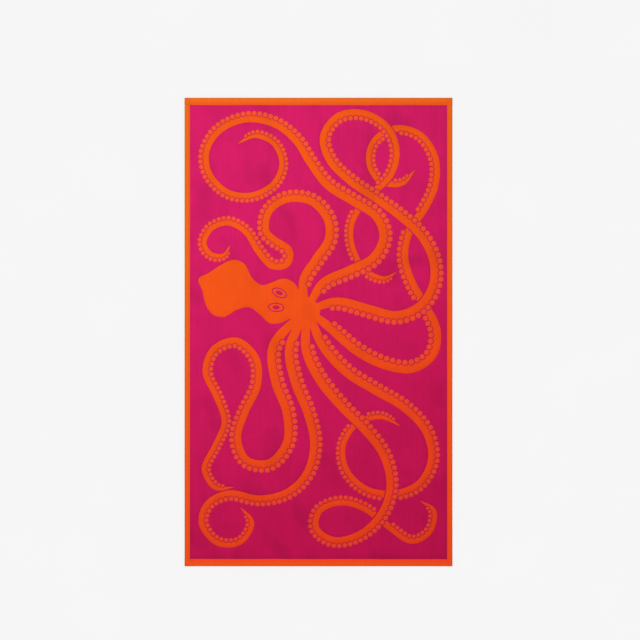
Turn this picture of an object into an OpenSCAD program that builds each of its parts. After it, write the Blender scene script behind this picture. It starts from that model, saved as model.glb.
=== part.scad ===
// Velour beach towel with an octopus figure, lying flat, face up, on z = 0.
// X runs across the width, Y along the length, the fold line is y = 0.
// Back pile, ground cloth and face pile lie one above the other.

/* [Overall size] */
// width of the finished towel, hem to hem
towel_w = 1000; // [700:10:1300]
// length of the finished towel, hem to hem
towel_l = 1750; // [1300:10:2200]

/* [Cloth and pile] */
// thickness of the woven ground cloth
cloth_t = 0.8; // [0.5:0.1:1.5]
// height of the loop pile on the back
back_pile_h = 1.2; // [0.8:0.1:2.5]
// height of the cut pile on the face
face_pile_h = 1.4; // [0.8:0.1:3]
// groove between two neighbouring areas of pile
pile_gap = 0.4; // [0.3:0.05:0.8]

/* [Hems] */
// width of the hem across each end
end_hem_w = 27; // [16:1:45]
// width of the hem along each long side
side_hem_w = 20; // [12:1:35]
// thickness of one ply of the flat woven hem
hem_ply_t = 0.8; // [0.5:0.1:1.2]
// clearance between the hem plies and the cloth inside them
hem_slack = 0.1; // [0.05:0.05:0.3]
// distance of the seam from the inner edge of the hem
seam_in = 3; // [2:0.5:6]
// width of the thread bar that stands for a row of stitches
thread_w = 1; // [0.6:0.1:1.6]
// height of the thread above and below the hem
thread_t = 0.3; // [0.2:0.05:0.5]
// number of places where a seam's thread passes through the plies
seam_passes = 6; // [2:1:12]

/* [Octopus] */
// full width of an arm, reached a little way from the body
arm_root_w = 40; // [25:0.5:55]
// part of its width that an arm loses on its way to the tip
arm_thinning = 0.48; // [0.2:0.02:0.7]
// length of an arm's pointed end
arm_tip_l = 100; // [50:5:160]
// radius a sucker would have where the arm has no width left
sucker_min_r = 3.2; // [2:0.1:6]
// growth of the sucker radius for each millimetre of half arm width
sucker_growth = 0.4; // [0.1:0.02:0.5]
// ground-coloured pile left showing between two parts of the figure
ring_w = 3; // [2:0.25:5]

/* [Fold] */
// gap between the two halves at the fold line
fold_gap = 0.3; // [0.2:0.05:1]

/* [Hidden] */
magenta = [0.80, 0.11, 0.36];
deep_magenta = [0.72, 0.09, 0.32];
orange = [0.95, 0.33, 0.07];
light_orange = [0.97, 0.42, 0.10];
bare_cloth = [0.86, 0.22, 0.22];

cloth_z = back_pile_h;
face_z = cloth_z + cloth_t;
top_z = face_z + face_pile_h;
hem_h = 2 * hem_ply_t + cloth_t + 2 * hem_slack;
hem_z = cloth_z - hem_slack - hem_ply_t;
hem_r = hem_h / 2;
field_w = towel_w - 2 * side_hem_w;
field_l = towel_l - 2 * end_hem_w;
cloth_w = towel_w - 2 * hem_r;
cloth_l = towel_l - 2 * hem_r;
// the figure is drawn for a 960 x 1696 field and follows the field's size
draw_x = field_w / 960;
draw_y = field_l / 1696;
draw_s = min(draw_x, draw_y);
arm_half = draw_s * (arm_root_w / 2 - 0.8);
tip_half = 0.8 * draw_s;
steps = 5;
round_fn = 48;

// each arm: side of its suckers (1 left, -1 right of its run), length before
// the first sucker, points that the middle of the arm runs through
arms = [
  [-1, 90, [[-48, 92], [-56, 190], [-8, 270], [40, 345], [35, 425], [-25, 490], [-115, 500],
    [-185, 455], [-200, 382], [-170, 345], [-112, 305], [-120, 255], [-175, 250], [-225, 305],
    [-270, 375], [-335, 410], [-400, 390], [-430, 335], [-405, 290], [-355, 285], [-330, 325]]],
  [-1, 85, [[-40, 92], [18, 182], [115, 228], [205, 275], [245, 355], [215, 435], [130, 490],
    [35, 550], [-30, 635], [-82, 716], [-160, 778], [-265, 798], [-365, 760], [-420, 680],
    [-410, 590], [-340, 520], [-245, 510], [-165, 555], [-135, 630], [-165, 705], [-235, 735],
    [-300, 705]]],
  [-1, 85, [[-32, 84], [70, 112], [185, 84], [290, 60], [380, 95], [430, 175], [430, 270],
    [385, 360], [305, 435], [215, 500], [120, 565], [45, 640], [20, 730], [75, 805], [170, 815],
    [255, 765], [290, 680], [270, 590], [205, 520], [140, 445], [118, 370], [135, 290],
    [180, 225], [243, 199], [292, 224]]],
  [1, 100, [[-32, 76], [48, 12], [148, -72], [250, -122], [350, -135], [425, -85], [440, 5],
    [400, 95], [350, 180], [320, 280], [340, 380], [395, 460], [435, 550], [435, 650],
    [380, 735], [290, 760], [210, 715], [190, 635], [230, 565], [310, 555], [360, 605]]],
  [1, 110, [[-36, 72], [14, -46], [102, -146], [210, -215], [320, -280], [400, -365], [425, -470],
    [380, -565], [285, -605], [180, -590], [105, -520], [90, -425], [140, -345], [230, -315],
    [305, -350]]],
  [1, 130, [[-42, 70], [-46, -62], [6, -178], [90, -280], [175, -365], [245, -460], [270, -570],
    [240, -675], [160, -755], [60, -780], [-10, -735], [5, -665], [85, -635], [175, -660],
    [260, -725], [345, -780], [415, -745], [430, -670], [380, -630]]],
  [1, 120, [[-48, 70], [-107, -58], [-86, -185], [-40, -300], [-15, -415], [-40, -525],
    [-115, -600], [-220, -625], [-330, -605], [-410, -640], [-435, -715], [-380, -785],
    [-295, -785], [-250, -715], [-290, -655]]],
  [1, 140, [[-56, 74], [-166, -48], [-160, -180], [-118, -295], [-115, -410], [-180, -490],
    [-270, -480], [-305, -395], [-275, -295], [-230, -200], [-235, -100], [-305, -35],
    [-390, -65], [-420, -150], [-380, -240], [-350, -335], [-385, -425], [-425, -510],
    [-385, -580], [-315, -580]]]
];
// an arm that crosses itself is drawn in two runs that meet at this point
run_break = [undef, undef, 17, undef, undef, 11, undef, undef];
// crossings: lower arm, its stretch, upper arm, its stretch (in points)
crossings = [
  [3, 6.4, 7.6, 2, 3.6, 5.0],
  [3, 9.6, 11.4, 2, 6.4, 8.4],
  [2, 17.4, 19, 2, 8.4, 10.2],
  [2, 18.2, 20.2, 1, 5.0, 7.2],
  [2, 20.4, 22.6, 1, 2.0, 4.2],
  [3, 14.4, 16.2, 2, 14.4, 16.6],
  [3, 17.6, 19.4, 2, 16.2, 18.0],
  [4, 7.2, 9.2, 5, 5.4, 7.2],
  [4, 11.2, 13.2, 5, 2.6, 4.4],
  [5, 12.4, 14.6, 5, 6.4, 8.4]
];
body_points = [[-449, 198], [-412, 220], [-366, 250], [-318, 270], [-276, 254], [-250, 206],
  [-214, 176], [-174, 186], [-132, 200], [-94, 186], [-66, 150], [-30, 126], [2, 100], [4, 66],
  [-22, 42], [-62, 44], [-100, 50], [-140, 34], [-182, 32], [-216, 62], [-258, 92], [-306, 82],
  [-352, 56], [-396, 66], [-422, 104], [-434, 152]];
// eyes: middle, turn
eyes = [[[-146, 146], -24], [[-158, 92], -4]];
eye_ring = [30, 17];
eye_iris = [26.6, 13.6];
eye_pupil = [13, 7.5];

// smooth curve through four neighbouring points, and its direction
function along(a, b, c, d, t) =
  0.5 * (2 * b + (c - a) * t + (2 * a - 5 * b + 4 * c - d) * t * t
  + (3 * b - a - 3 * c + d) * t * t * t);
function heading(a, b, c, d, t) =
  (c - a) + 2 * (2 * a - 5 * b + 4 * c - d) * t + 3 * (3 * b - a - 3 * c + d) * t * t;
function drawn(p) = [p[0] * draw_x, p[1] * draw_y];
function left_of(v) = [-v[1], v[0]] / norm(v);
function padded(p) = concat([2 * p[0] - p[1]], p, [2 * p[len(p) - 1] - p[len(p) - 2]]);

// stations of an arm: middle point and unit vector to its left
function stations(k) =
  let (p = padded([for (q = arms[k][2]) drawn(q)]), n = len(p) - 3)
  [for (i = [0:steps * n])
    let (j = min(floor(i / steps), n - 1), t = i / steps - j)
    [along(p[j], p[j + 1], p[j + 2], p[j + 3], t),
     left_of(heading(p[j], p[j + 1], p[j + 2], p[j + 3], t))]];
run = [for (k = [0:7]) stations(k)];
// length of the arm up to each station
reach = [for (k = [0:7])
  [for (i = 0, s = 0; i < len(run[k]);
    s = s + (i + 1 < len(run[k]) ? norm(run[k][i + 1][0] - run[k][i][0]) : 0), i = i + 1) s]];
function whole(k) = reach[k][len(reach[k]) - 1];
// narrow where it leaves the body, then full, slowly thinner, and pointed at the tip
function half_at(k, s) =
  let (end = min(1, max(0, whole(k) - s) / (arm_tip_l * draw_s)))
  arm_half * (1 - 0.5 * exp(-s / (70 * draw_s))) * (1 - arm_thinning * s / whole(k)) * end * (2 - end)
  + tip_half;
function half_of(k, i) = half_at(k, reach[k][i]);
function index_at(k, point) = max(0, min(len(run[k]) - 1, round(point * steps)));

// outline of an arm between two of its stations
function band(k, a, b, grow) = concat(
  [for (i = [a:b]) run[k][i][0] + run[k][i][1] * (half_of(k, i) + grow)],
  [for (i = [b:-1:a]) run[k][i][0] - run[k][i][1] * (half_of(k, i) + grow)]);

// where a length along the arm falls, as a fractional station
function station_at(k, s) = lookup(s, [for (i = [0:len(reach[k]) - 1]) [reach[k][i], i]]);
function between(k, f, part) =
  let (i = min(floor(f), len(run[k]) - 2)) run[k][i][part] * (i + 1 - f) + run[k][i + 1][part] * (f - i);
function sucker_r(k, s) = draw_s * sucker_min_r + sucker_growth * half_at(k, s);
function ring_at(r) = ring_w * min(1, 0.25 + r / 18);
// the suckers bite into the edge of the arm, less deeply where it is thin
function sucker_off(k, s) =
  let (h = half_at(k, s), r = sucker_r(k, s)) h + max(0.45 * r, r + ring_at(r) - 0.8 * h);
// suckers: middle, radius, place along the arm in points
function sucker(k, s) =
  let (f = station_at(k, s), n = between(k, f, 1))
  [between(k, f, 0) + n / norm(n) * arms[k][0] * sucker_off(k, s), sucker_r(k, s), f / steps];
// moves on along the arm until the next sucker stands clear of the last one
function clear_of(k, s, last) =
  let (q = sucker(k, s), short = q[1] + last[1] + ring_at(last[1]) - norm(q[0] - last[0]))
  short < 0.05 || s >= whole(k) ? s : clear_of(k, s + max(0.2, 0.6 * short), last);
all_suckers = [for (k = [0:7])
  [for (s = arms[k][1] * draw_s, q = sucker(k, s); s < whole(k) - 30;
    s = clear_of(k, s + q[1], q), q = sucker(k, s)) q]];

// a sucker is left out where another arm lies over it
function over_gap(q, c) =
  min(concat(
    [for (i = [index_at(c[3], c[4] - 0.8):index_at(c[3], c[5] + 0.8)])
      norm(run[c[3]][i][0] - q[0]) - half_of(c[3], i)],
    [for (o = all_suckers[c[3]]) if (o[2] > c[4] - 1 && o[2] < c[5] + 1) norm(o[0] - q[0]) - o[1]]));
function in_way(k, q) = len([for (c = crossings)
  if (c[0] == k && q[2] > c[1] - 1 && q[2] < c[2] + 1 && over_gap(q, c) < q[1] + 0.8 * ring_w) 1]) > 0;
// the arms below the fold carry no sucker across it
function off_fold(k, q) = k < 4 || q[0][1] < -q[1] - 1;
suckers = [for (k = [0:7]) [for (q = all_suckers[k]) if (!in_way(k, q) && off_fold(k, q)) q]];

// outline of the body, moved outward by grow
function body_outline(grow) =
  let (p = [for (q = body_points) drawn(q)], n = len(p))
  [for (i = [0:n - 1], j = [0:3])
    let (a = p[(i + n - 1) % n], b = p[i], c = p[(i + 1) % n], d = p[(i + 2) % n])
    along(a, b, c, d, j / 4) + left_of(heading(a, b, c, d, j / 4)) * grow];
function oval(e, size, grow) = [for (t = [0:9:351])
  let (x = (size[0] * draw_s + grow) * cos(t), y = (size[1] * draw_s + grow) * sin(t))
  drawn(e[0]) + [x * cos(e[1]) - y * sin(e[1]), x * sin(e[1]) + y * cos(e[1])]];

// one half of the towel: side 1 is the upper half, -1 the lower
module half_plane(side, room) {
  translate([0, side * (fold_gap / 2 + room)])
    translate([-towel_w, side > 0 ? 0 : -towel_l])
      square([2 * towel_w, towel_l]);
}

module arm_run(k, a, b, grow) {
  difference() {
    polygon(band(k, a, b, grow));
    for (c = crossings)
      if (c[0] == k && c[1] * steps >= a && c[2] * steps <= b + steps) {
        polygon(band(c[3], index_at(c[3], c[4]), index_at(c[3], c[5]), ring_w - grow));
        for (q = suckers[c[3]])
          if (q[2] > c[4] && q[2] < c[5])
            translate(q[0]) circle(r = q[1] + ring_at(q[1]) - grow, $fn = round_fn);
      }
    for (q = suckers[k])
      if (q[2] * steps > a - 3 && q[2] * steps < b + 3)
        translate(q[0]) circle(r = q[1] + ring_at(q[1]) - grow, $fn = round_fn);
  }
}

module arm_shape(k, grow) {
  last = len(run[k]) - 1;
  if (is_undef(run_break[k])) {
    arm_run(k, 0, last, grow);
  } else {
    arm_run(k, 0, run_break[k] * steps, grow);
    arm_run(k, run_break[k] * steps, last, grow);
  }
}

// plan of one arm on one half; the arms above the fold start at the body's edge
module arm_plan(k, side, grow) {
  difference() {
    intersection() {
      arm_shape(k, grow);
      half_plane(side, -grow);
    }
    if (side > 0) body_plan(pile_gap - grow);
  }
}

module suckers_plan(k, side, grow) {
  intersection() {
    for (q = suckers[k]) translate(q[0]) circle(r = q[1] + grow, $fn = round_fn);
    half_plane(side, -grow);
  }
}

// the body with the roots of the lower arms, down to the fold
module body_plan(grow) {
  intersection() {
    union() {
      polygon(body_outline(grow));
      for (k = [4:7]) polygon(band(k, 0, 2 * steps, grow));
    }
    half_plane(1, -grow);
  }
}

module field_rect(side, room) {
  intersection() {
    square([field_w - 2 * room, field_l - 2 * room], center = true);
    half_plane(side, 0);
  }
}

upper_arms = [0, 1, 2, 3];
lower_arms = [3, 4, 5, 6, 7];

// ground-coloured pile of one half with the figure cut out of it
module field_plan(side) {
  difference() {
    field_rect(side, pile_gap);
    for (k = side > 0 ? upper_arms : lower_arms) {
      arm_plan(k, side, pile_gap);
      suckers_plan(k, side, pile_gap);
    }
    if (side > 0) body_plan(pile_gap);
  }
}

module face(h = face_pile_h) {
  translate([0, 0, face_z]) linear_extrude(height = h) children();
}

module back() {
  linear_extrude(height = back_pile_h) children();
}

module eye_area(e, size, grow) {
  polygon(oval(e, size, grow));
}

module ground_cloth(side) {
  color(bare_cloth)
    translate([0, 0, cloth_z])
      linear_extrude(height = cloth_t)
        difference() {
          intersection() {
            square([cloth_w, cloth_l], center = true);
            half_plane(side, 0);
          }
          pass_holes(side);
        }
}

// middle lines of the seams: start, end
seam_x = field_w / 2 + seam_in;
seam_y = field_l / 2 + seam_in;
seam_end_x = towel_w / 2 - hem_r - 4;
hem_side_end = towel_l / 2 - end_hem_w - 0.3;
function side_seam_y(side) = [side * (fold_gap / 2 + 6), side * (hem_side_end - 4)];
function pass_at(a, b) = [for (i = [0:seam_passes - 1]) a + (b - a) * i / (seam_passes - 1)];

module pass_holes(side) {
  hole = thread_w + 0.6;
  for (x = [-seam_x, seam_x], y = pass_at(side_seam_y(side)[0], side_seam_y(side)[1]))
    translate([x, y]) square(hole, center = true);
  for (x = pass_at(-seam_end_x, seam_end_x))
    translate([x, side * seam_y]) square(hole, center = true);
}

// flat woven band folded round the edge of the cloth, seen along its length
module hem_profile(w) {
  difference() {
    union() {
      translate([0, hem_z]) square([w - hem_r, hem_h]);
      translate([w - hem_r, hem_z + hem_r]) circle(r = hem_r, $fn = round_fn);
    }
    translate([-1, cloth_z - hem_slack]) square([w - hem_r + 1, cloth_t + 2 * hem_slack]);
    translate([w - hem_r, hem_z + hem_r]) circle(r = cloth_t / 2 + hem_slack, $fn = round_fn);
  }
}

module side_hem(dir, side) {
  len_y = hem_side_end - fold_gap / 2;
  color(light_orange)
    difference() {
      translate([dir * field_w / 2, side > 0 ? hem_side_end : -fold_gap / 2, 0])
        rotate([90, 0, 0])
          linear_extrude(height = len_y)
            mirror([dir > 0 ? 0 : 1, 0])
              hem_profile(side_hem_w);
      linear_extrude(height = top_z) pass_holes(side);
    }
}

module end_hem(side) {
  color(light_orange)
    difference() {
      translate([-towel_w / 2, side * field_l / 2, 0])
        rotate([90, 0, 90])
          linear_extrude(height = towel_w)
            mirror([side > 0 ? 0 : 1, 0])
              hem_profile(end_hem_w);
      linear_extrude(height = top_z) pass_holes(side);
    }
}

// a seam: thread above and below the hem, joined where it passes through
module seam_loop(length) {
  for (z = [hem_z - thread_t, hem_z + hem_h])
    translate([0, -thread_w / 2, z]) cube([length, thread_w, thread_t]);
  for (x = pass_at(thread_w / 2, length - thread_w / 2))
    translate([x - thread_w / 2, -thread_w / 2, hem_z - thread_t])
      cube([thread_w, thread_w, hem_h + 2 * thread_t]);
}

module side_hem_seam(dir, side) {
  ends = side_seam_y(side);
  color(orange)
    translate([dir * seam_x, min(ends[0], ends[1]) - thread_w / 2, 0])
      rotate([0, 0, 90])
        seam_loop(abs(ends[1] - ends[0]) + thread_w);
}

module end_hem_seam(side) {
  color(orange)
    translate([-seam_end_x - thread_w / 2, side * seam_y, 0])
      seam_loop(2 * seam_end_x + thread_w);
}

module face_field_pile(side) {
  color(magenta) face() field_plan(side);
}

module body_pile() {
  color(orange)
    face()
      difference() {
        body_plan(0);
        for (e = eyes) eye_area(e, eye_ring, 0);
      }
}

module eye_ring_pile(e) {
  color(magenta)
    face()
      difference() {
        eye_area(e, eye_ring, -pile_gap);
        eye_area(e, eye_iris, 0);
      }
}

module eye_iris_pile(e) {
  color(orange)
    face()
      difference() {
        eye_area(e, eye_iris, -pile_gap);
        eye_area(e, eye_pupil, 0);
      }
}

module eye_pupil_pile(e) {
  color(magenta) face() eye_area(e, eye_pupil, -pile_gap);
}

module arm_pile(k, side) {
  color(orange) face() arm_plan(k, side, 0);
}

module arm_suckers(k, side) {
  color(light_orange) face() suckers_plan(k, side, 0);
}

// the back carries the same figure with the two colours exchanged
module back_field_pile(side) {
  color(orange) {
    back() field_plan(side);
    if (side > 0)
      for (e = eyes)
        back() {
          difference() {
            eye_area(e, eye_ring, -pile_gap);
            eye_area(e, eye_iris, 0);
          }
          eye_area(e, eye_pupil, -pile_gap);
        }
  }
}

module back_octopus_pile(side) {
  color(deep_magenta) {
    for (k = side > 0 ? upper_arms : lower_arms) {
      back() arm_plan(k, side, 0);
      back() suckers_plan(k, side, 0);
    }
    if (side > 0) {
      back()
        difference() {
          body_plan(0);
          for (e = eyes) eye_area(e, eye_ring, 0);
        }
      for (e = eyes)
        back()
          difference() {
            eye_area(e, eye_iris, -pile_gap);
            eye_area(e, eye_pupil, 0);
          }
    }
  }
}

ground_cloth(-1);  // ground_cloth_lower
back_field_pile(-1);  // back_field_pile_lower
back_octopus_pile(-1);  // back_octopus_pile_lower
face_field_pile(-1);  // face_field_pile_lower
side_hem(-1, -1);  // left_hem_lower
side_hem(1, -1);  // right_hem_lower
end_hem(-1);  // bottom_hem
side_hem_seam(-1, -1);  // left_hem_seam_lower
side_hem_seam(1, -1);  // right_hem_seam_lower
end_hem_seam(-1);  // bottom_hem_seam
arm_pile(3, -1);  // arm_4_pile_lower
arm_suckers(3, -1);  // arm_4_suckers_lower
arm_pile(4, -1);  // arm_5_pile
arm_suckers(4, -1);  // arm_5_suckers
arm_pile(5, -1);  // arm_6_pile
arm_suckers(5, -1);  // arm_6_suckers
arm_pile(6, -1);  // arm_7_pile
arm_suckers(6, -1);  // arm_7_suckers
arm_pile(7, -1);  // arm_8_pile
arm_suckers(7, -1);  // arm_8_suckers
ground_cloth(1);  // ground_cloth_upper
back_field_pile(1);  // back_field_pile_upper
back_octopus_pile(1);  // back_octopus_pile_upper
face_field_pile(1);  // face_field_pile_upper
side_hem(-1, 1);  // left_hem_upper
side_hem(1, 1);  // right_hem_upper
end_hem(1);  // top_hem
side_hem_seam(-1, 1);  // left_hem_seam_upper
side_hem_seam(1, 1);  // right_hem_seam_upper
end_hem_seam(1);  // top_hem_seam
arm_pile(0, 1);  // arm_1_pile
arm_suckers(0, 1);  // arm_1_suckers
arm_pile(1, 1);  // arm_2_pile
arm_suckers(1, 1);  // arm_2_suckers
arm_pile(2, 1);  // arm_3_pile
arm_suckers(2, 1);  // arm_3_suckers
arm_pile(3, 1);  // arm_4_pile_upper
arm_suckers(3, 1);  // arm_4_suckers_upper
body_pile();
eye_ring_pile(eyes[0]);  // eye_1_ring
eye_iris_pile(eyes[0]);  // eye_1_iris
eye_pupil_pile(eyes[0]);  // eye_1_pupil
eye_ring_pile(eyes[1]);  // eye_2_ring
eye_iris_pile(eyes[1]);  // eye_2_iris
eye_pupil_pile(eyes[1]);  // eye_2_pupil
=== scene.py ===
import bpy, bmesh, math
import numpy as np
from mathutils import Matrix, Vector
from mathutils.geometry import delaunay_2d_cdt


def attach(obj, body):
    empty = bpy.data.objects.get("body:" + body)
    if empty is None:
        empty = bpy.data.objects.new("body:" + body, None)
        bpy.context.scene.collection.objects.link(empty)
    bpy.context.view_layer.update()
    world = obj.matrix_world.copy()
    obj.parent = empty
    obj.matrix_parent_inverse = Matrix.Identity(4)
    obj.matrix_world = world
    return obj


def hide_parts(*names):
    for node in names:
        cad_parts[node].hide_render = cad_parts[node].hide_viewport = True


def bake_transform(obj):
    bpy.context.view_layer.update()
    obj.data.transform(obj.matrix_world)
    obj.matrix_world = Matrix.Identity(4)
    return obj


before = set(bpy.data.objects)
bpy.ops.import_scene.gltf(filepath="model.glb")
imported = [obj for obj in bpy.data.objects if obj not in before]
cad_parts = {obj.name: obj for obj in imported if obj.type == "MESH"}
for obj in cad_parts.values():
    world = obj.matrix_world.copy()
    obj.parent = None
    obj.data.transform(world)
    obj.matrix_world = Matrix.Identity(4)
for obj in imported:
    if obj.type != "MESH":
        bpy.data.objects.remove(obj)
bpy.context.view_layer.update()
print("frame loaded")

mm = 0.001
towel = {
    "width": 1000, "length": 1750, "endHem": 27, "sideHem": 20,
    "backPile": 1.2, "cloth": 0.8, "facePile": 1.4, "hemPly": 0.8, "hemSlack": 0.1,
    "seamIn": 3, "groove": 0.4,
}
clothZ = towel["backPile"]
faceZ = clothZ + towel["cloth"]
hemHeight = 2 * towel["hemPly"] + towel["cloth"] + 2 * towel["hemSlack"]
hemZ = clothZ - towel["hemSlack"] - towel["hemPly"]
fieldWidth = towel["width"] - 2 * towel["sideHem"]
fieldLength = towel["length"] - 2 * towel["endHem"]


def addObject(name, data):
    obj = bpy.data.objects.new(name, data)
    bpy.context.scene.collection.objects.link(obj)
    return obj


def addMesh(name, points, edges=(), faces=()):
    mesh = bpy.data.meshes.new(name)
    mesh.from_pydata(points, edges, faces)
    return addObject(name, mesh)


# socket wrapper for shader and geometry trees
class Wire:
    def __init__(self, board, socket):
        self.board, self.socket = board, socket

    def __add__(self, other): return self.board.math("ADD", self, other)
    def __radd__(self, other): return self.board.math("ADD", other, self)
    def __sub__(self, other): return self.board.math("SUBTRACT", self, other)
    def __rsub__(self, other): return self.board.math("SUBTRACT", other, self)
    def __mul__(self, other): return self.board.math("MULTIPLY", self, other)
    def __rmul__(self, other): return self.board.math("MULTIPLY", other, self)


class Board:
    def __init__(self, tree):
        self.tree = tree

    def node(self, kind, settings=None, inputs=None, out=0):
        made = self.tree.nodes.new(kind)
        for key, value in (settings or {}).items():
            setattr(made, key, value)
        for key, value in (inputs or {}).items():
            self.feed(made.inputs[key], value)
        return Wire(self, made.outputs[out])

    def wires(self, kind, inputs=None):
        made = self.node(kind, None, inputs).socket.node
        return {socket.name: Wire(self, socket) for socket in made.outputs}

    def feed(self, socket, value):
        if isinstance(value, Wire):
            self.tree.links.new(value.socket, socket)
        else:
            socket.default_value = value

    def math(self, operation, *values):
        return self.node("ShaderNodeMath", {"operation": operation}, dict(enumerate(values)))

    def smooth(self, value, low, high, toLow=0.0, toHigh=1.0):
        return self.node("ShaderNodeMapRange", {"interpolation_type": "SMOOTHSTEP"},
                         {"Value": value, "From Min": low, "From Max": high,
                          "To Min": toLow, "To Max": toHigh})

    def blendColour(self, factor, first, second, how="MIX"):
        mix = self.tree.nodes.new("ShaderNodeMix")
        mix.data_type, mix.blend_type = "RGBA", how
        for name, value in (("Factor_Float", factor), ("A_Color", first), ("B_Color", second)):
            self.feed(next(s for s in mix.inputs if s.identifier == name), value)
        return Wire(self, next(s for s in mix.outputs if s.identifier == "Result_Color"))

    def noise(self, place, scale, detail=2.0, rough=0.5, flat=True):
        return self.node("ShaderNodeTexNoise", {"noise_dimensions": "2D" if flat else "3D"},
                         {"Vector": place, "Scale": scale, "Detail": detail, "Roughness": rough})

    def bands(self, place, way, scale, distortion, detail=2.0):
        return self.node("ShaderNodeTexWave", {"wave_type": "BANDS", "bands_direction": way},
                         {"Vector": place, "Scale": scale, "Distortion": distortion, "Detail": detail})

    def raised(self, shader, height, strength, depth):
        # depth in metres
        self.feed(shader.inputs["Normal"], self.node(
            "ShaderNodeBump", None, {"Strength": strength, "Distance": depth, "Height": height}))


# the octopus drawing, in millimetres on the towel's plan
octopus = {
    "armRoot": 40, "thinning": 0.48, "tipLength": 100, "tip": 0.8,
    "suckerMin": 3.2, "suckerGrowth": 0.4, "ring": 3.0, "suckerSides": 18,
}
# side of the suckers, length before the first one, points along the arm's middle
armTable = [
    (-1, 90, [(-48, 92), (-56, 190), (-8, 270), (40, 345), (35, 425), (-25, 490), (-115, 500),
             (-185, 455), (-200, 382), (-170, 345), (-112, 305), (-120, 255), (-175, 250),
             (-225, 305), (-270, 375), (-335, 410), (-400, 390), (-430, 335), (-405, 290),
             (-355, 285), (-330, 325)]),
    (-1, 85, [(-40, 92), (18, 182), (115, 228), (205, 275), (245, 355), (215, 435), (130, 490),
              (35, 550), (-30, 635), (-82, 716), (-160, 778), (-265, 798), (-365, 760),
              (-420, 680), (-410, 590), (-340, 520), (-245, 510), (-165, 555), (-135, 630),
              (-165, 705), (-235, 735), (-300, 705)]),
    (-1, 85, [(-32, 84), (70, 112), (185, 84), (290, 60), (380, 95), (430, 175), (430, 270),
              (385, 360), (305, 435), (215, 500), (120, 565), (45, 640), (20, 730), (75, 805),
              (170, 815), (255, 765), (290, 680), (270, 590), (205, 520), (140, 445), (118, 370),
              (135, 290), (180, 225), (243, 199), (292, 224)]),
    (1, 100, [(-32, 76), (48, 12), (148, -72), (250, -122), (350, -135), (425, -85), (440, 5),
              (400, 95), (350, 180), (320, 280), (340, 380), (395, 460), (435, 550), (435, 650),
              (380, 735), (290, 760), (210, 715), (190, 635), (230, 565), (310, 555), (360, 605)]),
    (1, 110, [(-36, 72), (14, -46), (102, -146), (210, -215), (320, -280), (400, -365),
              (425, -470), (380, -565), (285, -605), (180, -590), (105, -520), (90, -425),
              (140, -345), (230, -315), (305, -350)]),
    (1, 130, [(-42, 70), (-46, -62), (6, -178), (90, -280), (175, -365), (245, -460),
              (270, -570), (240, -675), (160, -755), (60, -780), (-10, -735), (5, -665),
              (85, -635), (175, -660), (260, -725), (345, -780), (415, -745), (430, -670),
              (380, -630)]),
    (1, 120, [(-48, 70), (-107, -58), (-86, -185), (-40, -300), (-15, -415), (-40, -525),
              (-115, -600), (-220, -625), (-330, -605), (-410, -640), (-435, -715), (-380, -785),
              (-295, -785), (-250, -715), (-290, -655)]),
    (1, 140, [(-56, 74), (-166, -48), (-160, -180), (-118, -295), (-115, -410), (-180, -490),
              (-270, -480), (-305, -395), (-275, -295), (-230, -200), (-235, -100), (-305, -35),
              (-390, -65), (-420, -150), (-380, -240), (-350, -335), (-385, -425), (-425, -510),
              (-385, -580), (-315, -580)]),
]
# an arm that crosses itself is drawn in two runs, meeting at this point
runBreak = {2: 17, 5: 11}
# lower arm, its stretch, upper arm, its stretch (in points)
crossings = [
    (3, 6.4, 7.6, 2, 3.6, 5.0), (3, 9.6, 11.4, 2, 6.4, 8.4), (2, 17.4, 19, 2, 8.4, 10.2),
    (2, 18.2, 20.2, 1, 5.0, 7.2), (2, 20.4, 22.6, 1, 2.0, 4.2), (3, 14.4, 16.2, 2, 14.4, 16.6),
    (3, 17.6, 19.4, 2, 16.2, 18.0), (4, 7.2, 9.2, 5, 5.4, 7.2), (4, 11.2, 13.2, 5, 2.6, 4.4),
    (5, 12.4, 14.6, 5, 6.4, 8.4),
]
bodyPoints = [(-449, 198), (-412, 220), (-366, 250), (-318, 270), (-276, 254), (-250, 206),
              (-214, 176), (-174, 186), (-132, 200), (-94, 186), (-66, 150), (-30, 126), (2, 100),
              (4, 66), (-22, 42), (-62, 44), (-100, 50), (-140, 34), (-182, 32), (-216, 62),
              (-258, 92), (-306, 82), (-352, 56), (-396, 66), (-422, 104), (-434, 152)]
eyes = [((-146, 146), -24), ((-158, 92), -4)]
eyeOvals = {"ring": (30, 17), "iris": (26.6, 13.6), "pupil": (13, 7.5)}


def smoothCurve(points, steps, closed=False):
    p = np.array(points, float)
    if closed:
        p = np.vstack([p[-1], p, p[0], p[1]])
    else:
        p = np.vstack([2 * p[0] - p[1], p, 2 * p[-1] - p[-2]])
    place, heading = [], []
    spans = len(p) - 3
    for i in range(spans):
        a, b, c, d = p[i:i + 4]
        last = 1 if (i == spans - 1 and not closed) else 0
        for j in range(steps + last):
            t = j / steps
            place.append(0.5 * (2 * b + (c - a) * t + (2 * a - 5 * b + 4 * c - d) * t * t
                                + (3 * b - a - 3 * c + d) * t ** 3))
            heading.append((c - a) + 2 * (2 * a - 5 * b + 4 * c - d) * t
                           + 3 * (3 * b - a - 3 * c + d) * t * t)
    place, heading = np.array(place), np.array(heading)
    left = np.stack([-heading[:, 1], heading[:, 0]], 1)
    left /= np.linalg.norm(left, axis=1)[:, None]
    return place, left


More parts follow.
